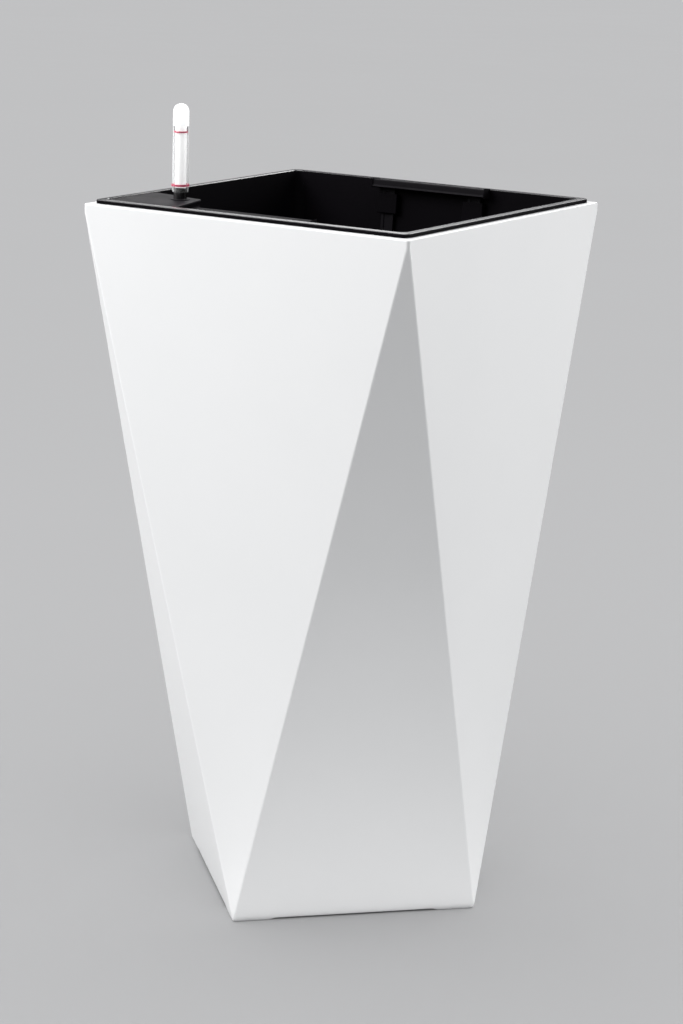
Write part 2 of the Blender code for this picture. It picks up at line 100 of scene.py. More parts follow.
# ---------------------------------------------------------------- pieces in the liner
GAUGE = (-0.1256, -0.1256)
FIT = 0.0003
PLATE = 0.0025
SKIRT = 0.012
CUP_OFFSET = 0.070
CUP_RADIUS = 0.0235
LEG_REACH = 0.118
SHAFT_FOOT = ((-0.1515, -0.1515), (-0.0980, -0.1515), (-0.1120, -0.1120), (-0.1515, -0.0980))
SHAFT_FOOT_RADII = (0.0280, 0.0040, 0.0050, 0.0040)
COVER = ((-0.1801, -0.1801), (-0.0935, -0.1801), (-0.1095, -0.1095), (-0.1801, -0.0935))
COVER_RADII = (0.0095, 0.0020, 0.0050, 0.0020)
COVER_THICKNESS = 0.0025
SHAFT_WALL = 0.002
SHAFT_MOUTH_INSET = 0.0008

CORNER_STEPS = 9
EDGE_STEPS = 5
TINY = 1e-6


# ---------------------------------------------------------------- outlines and rings
def rounded(points, radii, steps, closed=True):
    """The points with each corner turned into an arc, in any number of dimensions."""
    points = [Vector(point) for point in points]
    result = []
    for index, (corner, radius) in enumerate(zip(points, radii)):
        at_end = not closed and index in (0, len(points) - 1)
        if at_end or radius <= 0:
            result.append(corner)
            continue
        before = points[index - 1] - corner
        after = points[(index + 1) % len(points)] - corner
        turn = math.pi - before.angle(after)
        trim = min(radius * math.tan(turn / 2), 0.49 * before.length, 0.49 * after.length)
        start = corner + before.normalized() * trim
        end = corner + after.normalized() * trim
        weight = math.cos(turn / 2)
        for step in range(steps + 1):
            share = step / steps
            first, middle, last = (1 - share) ** 2, 2 * share * (1 - share) * weight, share ** 2
            result.append((start * first + corner * middle + end * last) / (first + middle + last))
    return result


def inset(corners, distance):
    """An anticlockwise outline with every side moved inwards."""
    moved = []
    for index, corner in enumerate(corners):
        corner = Vector(corner)
        before = (corner - Vector(corners[index - 1])).normalized()
        after = (Vector(corners[(index + 1) % len(corners)]) - corner).normalized()
        inward = Vector((-before.y, before.x)) + Vector((-after.y, after.x))
        moved.append(corner + inward * (distance / (1 + before.dot(after))))
    return moved


def outline_ring(corners, radii, distance, height, steps=CORNER_STEPS):
    """One level of an outline, moved inwards by distance."""
    smaller = [max(radius - distance, 0.0003) for radius in radii]
    return [Vector((*point, height)) for point in rounded(inset(corners, distance), smaller, steps)]


def square(half):
    return ((-half, -half), (half, -half), (half, half), (-half, half))


def square_ring(half, height, corner):
    return outline_ring(square(half), (corner,) * 4, 0, height)


def circle_ring(radius, height, like):
    """A circle with as many points as another ring, each at the same bearing."""
    ring = []
    for point in like:
        bearing = math.atan2(point.y, point.x)
        ring.append(Vector((radius * math.cos(bearing), radius * math.sin(bearing), height)))
    return ring


def loft(rings, loop=False):
    """A skin through rings of equal count, closed at its ends or run round as a loop."""
    bm = bmesh.new()
    rows = [[bm.verts.new(point) for point in ring] for ring in rings]
    pairs = list(zip(rows, rows[1:]))
    if loop:
        pairs.append((rows[-1], rows[0]))
    else:
        bm.faces.new(rows[0])
        bm.faces.new(rows[-1])
    for lower, upper in pairs:
        for index in range(len(lower)):
            after = (index + 1) % len(lower)
            bm.faces.new((lower[index], lower[after], upper[after], upper[index]))
    return tidy(bm)


def tidy(bm):
    bmesh.ops.remove_doubles(bm, verts=bm.verts, dist=TINY)
    bmesh.ops.dissolve_degenerate(bm, edges=bm.edges, dist=TINY)
    bmesh.ops.recalc_face_normals(bm, faces=bm.faces)
    return bm


def edge_levels(low, high, edge):
    """(inset, height) levels of a slab whose two rims are rounded."""
    corners = [(1, low), (0, low), (0, high), (1, high)]
    return rounded(corners, [0, edge, edge, 0], EDGE_STEPS, closed=False)[1:-1]


def prism(corners, radii, low, high, edge, steps=CORNER_STEPS):
    """A slab with an outline, rounded along its rims."""
    return loft([outline_ring(corners, radii, level.x, level.y, steps)
                 for level in edge_levels(low, high, edge)])


def turned(rows, at=(0, 0), closed=True, steps=72):
    """Rows of (radius, height, rounding), turned about a vertical axis."""
    profile = rounded([row[:2] for row in rows], [row[2] for row in rows], EDGE_STEPS, closed)
    rings = []
    for radius, height in profile:
        rings.append([Vector((at[0] + max(radius, 0) * math.cos(2 * math.pi * step / steps),
                              at[1] + max(radius, 0) * math.sin(2 * math.pi * step / steps), height))
                      for step in range(steps)])
    bm = bmesh.new()
    columns = [[bm.verts.new(point) for point in ring] for ring in rings]
    pairs = list(zip(columns, columns[1:]))
    if closed:
        pairs.append((columns[-1], columns[0]))
    for lower, upper in pairs:
        for index in range(steps):
            after = (index + 1) % steps
            bm.faces.new((lower[index], lower[after], upper[after], upper[index]))
    return tidy(bm)


def block(low, high, edge):
    """A box with all its edges rounded."""
    low, high = Vector(low), Vector(high)
    bm = bmesh.new()
    bmesh.ops.create_cube(bm, size=1.0, matrix=Matrix.LocRotScale((low + high) / 2, None, high - low))
    if edge:
        bmesh.ops.bevel(bm, geom=bm.edges, offset=edge, segments=3, profile=0.5, affect="EDGES")
    return bm


def placed(bm, matrix):
    bmesh.ops.transform(bm, matrix=matrix, verts=bm.verts)
    return bm


# ---------------------------------------------------------------- solids and pieces
def temporary(bm):
    mesh = bpy.data.meshes.new("solid")
    bm.to_mesh(mesh)
    bm.free()
    item = bpy.data.objects.new("solid", mesh)
    bpy.context.scene.collection.objects.link(item)
    return item


def combined(bm, *steps):
    """The mesh after boolean steps, each an operation with its other solid."""
    target = temporary(bm)
    others = []
    for operation, other in steps:
        others.append(temporary(other))
        change = target.modifiers.new(operation, "BOOLEAN")
        change.operation = operation
        change.object = others[-1]
        change.solver = "EXACT"
    shape = target.evaluated_get(bpy.context.evaluated_depsgraph_get())
    result = bmesh.new()
    result.from_mesh(shape.to_mesh())
    for item in [target] + others:
        bpy.data.objects.remove(item)
    return result


def together(*parts):
    """Several separate solids as one mesh."""
    result = bmesh.new()
    for part in parts:
        mesh = bpy.data.meshes.new("part")
        part.to_mesh(mesh)
        part.free()
        result.from_mesh(mesh)
        bpy.data.meshes.remove(mesh)
    return result


def piece(name, bm, finish, body, nodes, sharp=34, look=None, areas=()):
    """Turns a mesh into a shown piece that stands for its CAD nodes and rides on their body.

    finish is the record's slot. look is another finish of the same slot, and each of the areas is one
    more with the test that picks its polygons.
    """
    mesh = bpy.data.meshes.new(name)
    bm.to_mesh(mesh)
    bm.free()
    item = bpy.data.objects.new(name, mesh)
    bpy.context.scene.collection.objects.link(item)
    mesh.materials.append(FINISHES[look or finish])
    for index, (other, chosen) in enumerate(areas, start=1):
        mesh.materials.append(FINISHES[other])
        for polygon in mesh.polygons:
            if chosen(polygon):
                polygon.material_index = index
    mesh.shade_smooth()
    mesh.set_sharp_from_angle(angle=math.radians(sharp))
    even = item.modifiers.new("even_normals", "WEIGHTED_NORMAL")
    even.keep_sharp = True
    even.weight = 80
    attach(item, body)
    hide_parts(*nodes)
    return item


# ---------------------------------------------------------------- materials
class Graph:
    """Short calls for building a material's nodes."""

    def __init__(self, name):
        self.material = bpy.data.materials.new(name)
        self.material.use_nodes = True
        self.tree = self.material.node_tree
        self.shader = self.tree.nodes["Principled BSDF"]
        self.place = self.node("ShaderNodeTexCoord").outputs["Object"]

    def node(self, kind, **values):
        made = self.tree.nodes.new(kind)
        for key, value in values.items():
            setattr(made, key, value)
        return made

    def link(self, source, target):
        self.tree.links.new(source, target)

    def stretched(self, scale):
        mapping = self.node("ShaderNodeMapping")
        mapping.inputs["Scale"].default_value = scale
        self.link(self.place, mapping.inputs["Vector"])
        return mapping.outputs["Vector"]

    def noise(self, scale, detail=3.0, rough=0.55, vector=None):
        made = self.node("ShaderNodeTexNoise")
        made.inputs["Scale"].default_value = scale
        made.inputs["Detail"].default_value = detail
        made.inputs["Roughness"].default_value = rough
        self.link(vector or self.place, made.inputs["Vector"])
        return made.outputs["Fac"]

    def remap(self, source, low, high, start=0.3, end=0.7):
        made = self.node("ShaderNodeMapRange")
        made.inputs["From Min"].default_value = start
        made.inputs["From Max"].default_value = end
        made.inputs["To Min"].default_value = low
        made.inputs["To Max"].default_value = high
        self.link(source, made.inputs["Value"])
        return made.outputs["Result"]

    def tone(self, source, first, second, target="Base Color"):
        made = self.node("ShaderNodeMix", data_type="RGBA")
        made.inputs["A"].default_value = (*first, 1)
        made.inputs["B"].default_value = (*second, 1)
        self.link(source, made.inputs["Factor"])
        self.link(made.outputs["Result"], self.shader.inputs[target])

    def bump(self, source, depth, under=None):
        made = self.node("ShaderNodeBump")
        made.inputs["Strength"].default_value = 1.0
        made.inputs["Distance"].default_value = depth
        self.link(source, made.inputs["Height"])
        if under:
            self.link(under, made.inputs["Normal"])
        return made.outputs["Normal"]

    def add(self, first, second):
        made = self.node("ShaderNodeMath", operation="ADD")
        self.link(first, made.inputs[0])
        self.link(second, made.inputs[1])
        return made.outputs[0]

    def settings(self, **values):
        for key, value in values.items():
            self.shader.inputs[key.replace("_", " ")].default_value = value


def moulded(name, tone, shift, roughness, spread, grain, depth, mottle=(26, 5), wave=0.0, scuffs=0.0,
            **settings):
    """Moulded plastic: slow tone drift, fine grain, uneven gloss and faint handling marks."""
    graph = Graph(name)
    second = tuple(min(value * (1 + change), 1) for value, change in zip(tone, shift))
    graph.tone(graph.remap(graph.noise(7, 4), 0, 1), tone, second)
    gloss = graph.remap(graph.noise(*mottle), roughness - spread, roughness + spread)
    if scuffs:
        marks = graph.remap(graph.noise(3.5, 6, 0.7, graph.stretched((22, 22, 150))), 0, scuffs, 0.62, 0.80)
        gloss = graph.add(gloss, marks)
    graph.link(gloss, graph.shader.inputs["Roughness"])
    normal = graph.bump(graph.noise(grain, 2), depth)
    if wave:
        normal = graph.bump(graph.noise(14, 1), wave, normal)
    graph.link(normal, graph.shader.inputs["Normal"])
    graph.settings(**settings)
    return graph.material


def clear_tube(name, through, edge_start, edge_end, painted_glow=0.0):
    """Clear acrylic: see-through face on, denser and brighter towards its edges, faintly scratched. Its glow
    is painted light: an even white emission, though the tube is no lamp.
    """
    graph = Graph(name)
    graph.tone(graph.noise(40, 3), (0.90, 0.91, 0.92), (0.95, 0.96, 0.96))
    facing = graph.node("ShaderNodeLayerWeight")
    facing.inputs["Blend"].default_value = 0.50
    dense = graph.remap(facing.outputs["Facing"], through, 0.92, edge_start, edge_end)
    scratches = graph.remap(graph.noise(9, 5, 0.7, graph.stretched((60, 60, 900))), 0, 0.03, 0.60, 0.78)
    graph.link(graph.add(dense, scratches), graph.shader.inputs["Alpha"])
    graph.link(graph.remap(graph.noise(120, 4), 0.03, 0.10), graph.shader.inputs["Roughness"])
    graph.link(graph.bump(graph.noise(60, 2), 0.00004), graph.shader.inputs["Normal"])
    graph.settings(IOR=1.49, Coat_Weight=0.3, Coat_Roughness=0.03,
                   Emission_Color=(1, 1, 1, 1), Emission_Strength=painted_glow)
    return graph.material


def mark_ink(name):
    """Translucent raspberry red, a little uneven as a thin moulded band is."""
    graph = Graph(name)
    graph.tone(graph.noise(300, 3), (0.62, 0.06, 0.14), (0.78, 0.13, 0.22))
    graph.link(graph.remap(graph.noise(500, 2), 0.78, 0.95), graph.shader.inputs["Alpha"])
    graph.link(graph.remap(graph.noise(200, 3), 0.22, 0.36), graph.shader.inputs["Roughness"])
    return graph.material


def drawn_steel(name):
    """Thin drawn wire, with lengthwise lines."""
    graph = Graph(name)
    lines = graph.noise(5, 5, 0.7, graph.stretched((900, 900, 12)))
    graph.tone(lines, (0.50, 0.50, 0.51), (0.68, 0.68, 0.69))
    graph.link(graph.remap(lines, 0.20, 0.38), graph.shader.inputs["Roughness"])
    graph.link(graph.bump(lines, 0.00002), graph.shader.inputs["Normal"])
    graph.settings(Metallic=1.0)
    return graph.material


def closed_foam(name):
    """Closed-cell foam: small round cells over a warm off-white."""
    graph = Graph(name)
    cells = graph.node("ShaderNodeTexVoronoi", feature="SMOOTH_F1")
    cells.inputs["Scale"].default_value = 850
    graph.link(graph.place, cells.inputs["Vector"])
    height = cells.outputs["Distance"]
    graph.tone(graph.remap(height, 0, 1, 0.1, 0.8), (0.62, 0.60, 0.54), (0.84, 0.82, 0.77))
    graph.link(graph.remap(graph.noise(90, 3), 0.78, 0.94), graph.shader.inputs["Roughness"])
    graph.link(graph.bump(height, 0.00035), graph.shader.inputs["Normal"])
    return graph.material


FINISHES = {
    "shell_white": moulded("gloss_white", (0.845, 0.850, 0.852), (0.020, 0.018, 0.018), 0.34, 0.015,
                           900, 0.000012, mottle=(5, 2), wave=0.00005,
                           Coat_Weight=0.30, Coat_Roughness=0.16, IOR=1.50),
    "liner_black": moulded("satin_black", (0.0085, 0.0072, 0.0094), (0.35, 0.30, 0.40), 0.34, 0.05,
                           1500, 0.00003, scuffs=0.10, Coat_Weight=0.12, Coat_Roughness=0.25),
    "liner_crown": moulded("smooth_black", (0.0085, 0.0072, 0.0094), (0.35, 0.30, 0.40), 0.19, 0.03,
                           1500, 0.00001, Specular_IOR_Level=0.8),
    # The liner's own black made darker and almost without gloss: painted shade inside the liner and on the
    # rim's upright outer face.
    "liner_inside_painted_shade": moulded("fine_grain_painted_shade_black", (0.0023, 0.0019, 0.0026), (0.35, 0.30, 0.40), 0.62, 0.05,
                            1100, 0.00006, scuffs=0.06, Specular_IOR_Level=0.03),
    # The handle's black made darker: painted shade on the grip's face below the rim.
    "liner_grip_painted_shade": moulded("matt_painted_shade_black", (0.0052, 0.0046, 0.0057), (0.35, 0.30, 0.40), 0.55, 0.05,
                          1200, 0.00005, scuffs=0.06, Specular_IOR_Level=0.06),
    "liner_plate": moulded("matt_black", (0.0105, 0.0095, 0.0110), (0.35, 0.30, 0.40), 0.50, 0.05,
                           1300, 0.00005, scuffs=0.08, Specular_IOR_Level=0.10),
    "liner_gloss": moulded("polished_black", (0.0050, 0.0046, 0.0052), (0.30, 0.30, 0.30), 0.14, 0.03,
                           900, 0.00001, Specular_IOR_Level=1.0),
    "separator_grey": moulded("matt_graphite", (0.040, 0.041, 0.045), (0.25, 0.25, 0.25), 0.50, 0.06,
                              1300, 0.00005, scuffs=0.10),
    "seal_rubber": moulded("soft_rubber", (0.022, 0.022, 0.023), (0.4, 0.4, 0.4), 0.70, 0.07,
                           700, 0.00006, scuffs=0.05),
    "gauge_clear": clear_tube("clear_acrylic", 0.04, 0.45, 0.92),
    # The dome's glow is painted light that brightens it evenly.
    "gauge_dome": clear_tube("frosted_acrylic_painted_glow", 0.80, 0.10, 0.60, painted_glow=0.34),
    "mark_red": mark_ink("mark_red_ink"),
    "mark_grey": moulded("mark_grey_ink", (0.045, 0.045, 0.048), (0.20, 0.20, 0.20), 0.40, 0.05,
                         900, 0.00001),
    # The rod's emission is painted light that makes it glow white, though it is no lamp.
    "rod_white": moulded("rod_white_plastic_painted_glow", (0.96, 0.96, 0.955), (0.01, 0.01, 0.01), 0.34, 0.04,
                         1200, 0.00002, Emission_Color=(1, 1, 1, 1), Emission_Strength=0.38),
    "stem_steel": drawn_steel("stem_wire"),
    "float_foam": closed_foam("float_foam_cells"),
}


# ---------------------------------------------------------------- shell
FACE_STEPS = (0.07, 0.12, 0.135, 0.142, 0.15, 0.158, 0.165, 0.18, 0.30, 0.50,
              0.70, 0.82, 0.835, 0.842, 0.85, 0.858, 0.865, 0.88, 0.93)
FAN_STEPS = 7
RELIEF_START = 0.135
RELIEF_END = 0.165


def facet_halves(height, distance):
    """Reach of the mouth-side and of the base-side facets at a height, moved inwards."""
    share = height / SHELL_TOP
    mouth_side = BASE_SIDE / math.sqrt(2) * (1 - share) + TOP_SIDE / 2 * share
    base_side = BASE_SIDE / 2 * (1 - share) + TOP_SIDE / math.sqrt(2) * share
    return mouth_side - distance, base_side - distance


def facet_quarter(mouth_side, base_side, radius):
    """Points of one quarter of the eight-sided section, its corners rounded."""
    reach = math.sqrt(2) * (base_side - radius)
    across = min(mouth_side - radius, reach)
    along = min(max(reach - (mouth_side - radius), 0), mouth_side - radius)
    fans = []
    for centre, start in (((across, along), 0), ((along, across), math.pi / 4)):
        fan = []
        for step in range(FAN_STEPS + 1):
            angle = start + math.pi / 4 * step / FAN_STEPS
            fan.append(Vector(centre) + Vector((math.cos(angle), math.sin(angle))) * radius)
        fans.append(fan)
    between = [fans[0][-1].lerp(fans[1][0], share) for share in FACE_STEPS]
    middle = Vector((fans[0][0].x, 0))
    return [middle] + fans[0] + between + fans[1]


def relief_mask():
    """How much each point of a quarter is raised at the base: none at the corner feet."""
    def rise(share):
        near = min(share, 1 - share)
        ramp = min(max((near - RELIEF_START) / (RELIEF_END - RELIEF_START), 0), 1)
        return ramp * ramp * (3 - 2 * ramp)

    flat = [0] * (FAN_STEPS + 1)
    return [0] + flat + [rise(share) for share in FACE_STEPS] + flat


def shell_ring(height, distance, radius, relief=0.0, level=False):
    """One level of the shell; relief raises it between the feet, level raises the feet too."""
    lifts = [1.0 if level else mask for mask in relief_mask()]
    quarters = {}
    for lift in set(lifts):
        quarters[lift] = facet_quarter(*facet_halves(height + relief * lift, distance), radius)
    ring = []
    for turn in range(4):
        spin = Matrix.Rotation(turn * math.pi / 2, 2)
        for index, lift in enumerate(lifts):
            ring.append(Vector((*(spin @ quarters[lift][index]), height + relief * lift)))
    return ring


def mouth_ring(half, height, corner):
    ring = []
    for turn in range(4):
        spin = Matrix.Rotation(turn * math.pi / 2, 2)
        for point in facet_quarter(half, 10.0, corner):
            ring.append(Vector((*(spin @ point), height)))
    return ring


def crease_heights(distance, radius):
    """Heights where the rounded creases meet near the base and near the mouth."""
    def low_gap(height):
        mouth_side, base_side = facet_halves(height, distance)
        return math.sqrt(2) * (base_side - radius) - (mouth_side - radius)

    def high_gap(height):
        mouth_side, base_side = facet_halves(height, distance)
        return math.sqrt(2) * (base_side - radius) - 2 * (mouth_side - radius)

    found = []
    for gap in (low_gap, high_gap):
        start, end = gap(0), gap(SHELL_TOP)
        found.append(SHELL_TOP * -start / (end - start))
    return found


def shell():
    outer_low, outer_high = crease_heights(0, CREASE)
    inner_crease = CREASE + 0.001
    inner_low, inner_high = crease_heights(WALL, inner_crease)
    floor = WALL + BASE_RELIEF
    rings = [shell_ring(0, FOOT_DEPTH + 0.004, CREASE, BASE_RELIEF, level=True),
             shell_ring(0, FOOT_DEPTH, CREASE, BASE_RELIEF)]
    foot_round = 0.0014
    for share in range(EDGE_STEPS + 1):
        angle = math.pi / 2 * share / EDGE_STEPS
        rings.append(shell_ring(foot_round * (1 - math.cos(angle)), foot_round * (1 - math.sin(angle)),
                                CREASE, BASE_RELIEF))
    for height in (outer_low, outer_low + 0.006, outer_high - 0.006, outer_high):
        rings.append(shell_ring(height, 0, CREASE))
    lip_round = 0.0016
    for share in range(EDGE_STEPS + 1):
        angle = math.pi / 2 * share / EDGE_STEPS
        distance = lip_round * (1 - math.cos(angle))
        rings.append(shell_ring(SHELL_TOP - lip_round * (1 - math.sin(angle)), distance,
                                max(CREASE - distance, 0.0008)))
    mouth_edge = 0.0008
    outward = MOUTH_HALF + 0.004
    profile = rounded([(outward, SHELL_TOP), (MOUTH_HALF, SHELL_TOP), (MOUTH_HALF, SHELL_TOP - LIP),
                       (outward, SHELL_TOP - LIP)], [0, mouth_edge, mouth_edge, 0], EDGE_STEPS, closed=False)
    for half, height in profile[1:]:
        rings.append(mouth_ring(half, height, MOUTH_CORNER + half - MOUTH_HALF))
    for height in (SHELL_TOP - LIP, SHELL_TOP - LIP - 0.0015, inner_high, inner_low):
        distance = WALL + (0.0015 if height == SHELL_TOP - LIP else 0)
        rings.append(shell_ring(height, distance, inner_crease))
    for share in range(EDGE_STEPS + 1):
        angle = math.pi / 2 * share / EDGE_STEPS
        rings.append(shell_ring(floor + FLOOR_ROUND * (1 - math.sin(angle)),
                                WALL + FLOOR_ROUND * (1 - math.cos(angle)), inner_crease))
    bearings = rings[-1]
    for radius, height in ((0.027, floor), (0.026, floor + 0.0008), (0.0185, floor + 0.0008),
                           (0.0175, floor), (DRAIN + 0.0006, floor), (DRAIN, floor - 0.0006),
                           (DRAIN, BASE_RELIEF + 0.0006), (DRAIN + 0.0006, BASE_RELIEF)):
        rings.append(circle_ring(radius, height, bearings))
    piece("planter_shell", loft(rings, loop=True), "shell_white", "shell", ["outer_shell"], sharp=50)


def shell_plug():
    """Rubber plug with a pull stud."""
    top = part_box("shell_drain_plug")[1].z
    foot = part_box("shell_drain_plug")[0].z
    seat = WALL + BASE_RELIEF + FIT
    rows = [(0, top, 0), (0.0040, top, 0.0012), (0.0034, top - 0.0045, 0.001),
            (0.0040, seat + 0.0034, 0.0012), (0.0100, seat + 0.0030, 0.0005),
            (0.0135, seat + 0.0016, 0.0005), (0.0135, seat, 0.0004),
            (0.0090, seat, 0.0002), (0.0088, seat - 0.0020, 0.0002), (0.0085, foot, 0.0006), (0, foot, 0)]
    piece("shell_plug", turned(rows, closed=False), "seal_rubber", "shell_plug", ["shell_drain_plug"])


# ---------------------------------------------------------------- liner
def liner():
    """Walls, floor and rim in one skin; the rim's top is crowned and its outer edge well rounded."""
    def outer_half(height):
        share = (height - LINER_BOTTOM - LINER_ROUND) / (RIM_UNDERSIDE - LINER_BOTTOM - LINER_ROUND)
        return (LINER_BASE_HALF + (LINER_TOP_HALF - LINER_BASE_HALF) * share,
                LINER_BASE_CORNER + (LINER_TOP_CORNER - LINER_BASE_CORNER) * share)

    def outer_row(height, distance, edge):
        half, corner = outer_half(height)
        return (half - distance, height, corner - distance), edge

    bead = RIM_UNDERSIDE - 0.030
    rows = [
        ((LINER_BASE_HALF - 0.030, LINER_BOTTOM + 0.0010, 0.012), 0.0005),
        ((LINER_BASE_HALF - 0.028, LINER_BOTTOM, 0.013), 0.0005),
        ((LINER_BASE_HALF - 0.0004, LINER_BOTTOM, LINER_BASE_CORNER), LINER_ROUND),
        outer_row(bead - 0.0010, 0.0007, 0.0006),
        outer_row(bead, 0.0, 0.0006),
        outer_row(RIM_UNDERSIDE, 0.0, 0.0005),
        ((RIM_HALF, RIM_UNDERSIDE, RIM_CORNER), 0.0004),
        ((RIM_HALF, RIM_TOP - 0.0005, RIM_CORNER), 0.0010),
        ((INNER_TOP + 0.0012, RIM_TOP, LINER_TOP_CORNER - LINER_WALL + 0.0012), 0.0006),
        ((INNER_TOP, RIM_TOP - 0.0010, LINER_TOP_CORNER - LINER_WALL), 0.0010),
        ((INNER_BASE, FLOOR, LINER_BASE_CORNER - LINER_WALL), 0.0050),
        ((INNER_BASE - 0.030, FLOOR, 0.010), 0.0),
    ]
    profile = rounded([row[0] for row in rows], [row[1] for row in rows], EDGE_STEPS, closed=False)
    rings = [square_ring(half, height, corner) for half, height, corner in profile]
    bearings = rings[-1]
    inside = rounded([(0.060, FLOOR), (0.026, FLOOR), (0.025, FLOOR + 0.0008), (0.015, FLOOR + 0.0008),
                      (0.014, FLOOR - 0.0004), (LINER_DRAIN, FLOOR - 0.0004), (LINER_DRAIN, LINER_BOTTOM),
                      (0.022, LINER_BOTTOM), (0.024, LINER_BOTTOM + 0.0010), (0.060, LINER_BOTTOM + 0.0010)],
                     [0, 0.0004, 0.0003, 0.0003, 0, 0.0004, 0.0004, 0.0004, 0.0004, 0], 3, closed=False)
    rings += [circle_ring(radius, height, bearings) for radius, height in inside]
    # The inside and the rim's upright outer face take the darker finish as painted shade; the rim's top takes
    # the smooth finish.
    piece("liner_tub", loft(rings, loop=True), "liner_black", "liner", ["liner"], sharp=50,
          areas=(("liner_inside_painted_shade", painted_shade_faces), ("liner_crown", on_crown)))


def painted_shade_faces(polygon):
    """The liner's inside and its rim's upright outer face, which take a darker tone as painted shade."""
    inside = polygon.normal.xy.dot(polygon.center.xy) < 0 and polygon.center.z < RIM_TOP - 0.0014
    rim_face = polygon.center.z > RIM_UNDERSIDE - 0.0005 and polygon.normal.z < 0.5
    return inside or rim_face


def on_crown(polygon):
    """The rim's smooth top."""
    return polygon.center.z > RIM_TOP - 0.0010 and polygon.normal.z > 0.6


def liner_plug():
    """Push-in plug with a finger collar, and the seal ring over its head."""
    seal_top = LINER_BOTTOM - FIT
    seal_foot = seal_top - 0.0015
    head = seal_foot - FIT
    radius = 0.010
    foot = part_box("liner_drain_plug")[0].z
    rows = [(0, FLOOR + 0.0010, 0), (radius - 0.001, FLOOR + 0.001, 0.0006), (radius, FLOOR, 0.0004),
            (radius, head, 0.0003), (radius + 0.006, head, 0.0005), (radius + 0.006, head - 0.003, 0.0009),
            (radius - 0.002, head - 0.0035, 0.0010), (radius - 0.0026, head - 0.0065, 0.001),
            (radius - 0.002, foot, 0.0012), (radius - 0.0045, foot, 0.0006),
            (radius - 0.0050, foot + 0.0035, 0.0008), (0, foot + 0.0035, 0)]
    piece("liner_plug", turned(rows, closed=False), "separator_grey", "liner_plug", ["liner_drain_plug"])
    middle = (seal_top + seal_foot) / 2
    rows = [(radius + FIT, seal_top, 0.0002), (radius + 0.0044, seal_top, 0.0005),
            (radius + 0.0050, middle, 0.0006), (radius + 0.0044, seal_foot, 0.0005),
            (radius + FIT, seal_foot, 0.0002)]
    piece("liner_plug_seal", turned(rows), "seal_rubber", "liner_plug", ["plug_seal"])


# ---------------------------------------------------------------- handles
GRIP_HALF = 0.0715
GRIP_BEAD_LOW = RIM_TOP - 0.0100
GRIP_BEAD_HIGH = RIM_TOP - 0.0070
LEG_OFFSET = 0.055
LEG_HALF = 0.008
LEG_BACK = -0.0012
LEG_FRONT = -0.0042
LEG_FOOT = -0.108
UPRIGHT = Matrix(((0, 0, 1, 0), (1, 0, 0, 0), (0, 1, 0, 0), (0, 0, 0, 1)))  # outline in Y and Z, run along X


def wall_frame(turn):
    """Middle of a wall's inner top edge: Z up along the wall, Y into the wall."""
    tilt = Matrix.Rotation(-math.atan(WALL_SLOPE), 4, "X")
    spin = Matrix.Rotation(turn, 4, "Z")
    return spin @ Matrix.Translation((0, INNER_TOP, RIM_TOP)) @ tilt


def handle(side, turn):
    """Grip with a bead along its lower edge, on two ribbed legs with wide stops."""
    back, front, bead = -0.0005, -0.0124, -0.0135
    top, ledge, foot = -0.0008, -0.0072, -0.0093
    section = ((back, foot), (back, top), (front, top), (front, ledge), (bead, ledge - 0.0005), (bead, foot))
    section = section[::-1]
    radii = (0.0010, 0.0008, 0.0005, 0.0014, 0.0012, 0.0010)
    grip = placed(prism(section, radii, -GRIP_HALF, GRIP_HALF, 0.0012, steps=5), UPRIGHT)
    steps = []
    for centre in (-LEG_OFFSET, LEG_OFFSET):
        steps.append(("UNION", block((centre - LEG_HALF, LEG_FRONT, LEG_FOOT + 0.002),
                                     (centre + LEG_HALF, LEG_BACK, -0.004), 0.0006)))
        steps.append(("UNION", block((centre - 0.0112, LEG_FRONT - 0.0004, LEG_FOOT),
                                     (centre + 0.0112, LEG_BACK + 0.0004, LEG_FOOT + 0.005), 0.0008)))
        steps.append(("DIFFERENCE", block((centre - 0.0045, LEG_FRONT - 0.0010, LEG_FOOT + 0.010),
                                          (centre + 0.0045, LEG_FRONT + 0.0009, -0.014), 0.0005)))
    steps.append(("DIFFERENCE", block((-0.040, -0.0105, foot - 0.004),
                                      (0.040, -0.0035, foot + 0.0045), 0.0012)))
    grip = placed(combined(grip, *steps), wall_frame(turn))
    # The grip's face is darker than the handle's own black as painted shade. The bead along its lower edge
    # keeps the handle's own black and reads as a lighter line, a painted highlight.
    piece(f"lift_handle_{side}", grip, "liner_black", f"{side}_handle", [f"handle_{side}"], look="liner_grip_painted_shade",
          areas=[("liner_black", lambda polygon: GRIP_BEAD_LOW < polygon.center.z < GRIP_BEAD_HIGH)])


def handle_guides(side, turn):
    """Channels on the wall that the legs run in, each with a lead-in at its mouth."""
    low, high, front = -0.038, -0.016, -0.0068
    inner, outer = LEG_HALF + 0.0006, LEG_HALF + 0.0046
    slot_front = LEG_FRONT - 0.0006
    for label, centre in (("left", -LEG_OFFSET), ("right", LEG_OFFSET)):
        body = block((centre - outer, front, low), (centre + outer, -FIT, high), 0.0009)
        slot = block((centre - inner, slot_front, low - 0.01), (centre + inner, 0.01, high + 0.01), 0)
        corners = ((slot_front - 0.0012, high + 0.001), (slot_front + 0.002, high - 0.0035),
                   (slot_front + 0.002, high + 0.001))
        lead = placed(prism(corners, (0.0003,) * 3, centre - inner, centre + inner, 0.0003, steps=2), UPRIGHT)
        guide = combined(body, ("DIFFERENCE", slot), ("DIFFERENCE", lead))
        # The guides take the darker inside finish as painted shade.
        piece(f"leg_guide_{side}_{label}", placed(guide, wall_frame(turn)), "liner_black", "liner",
              [f"handle_guide_{side}_{label}"], look="liner_inside_painted_shade")


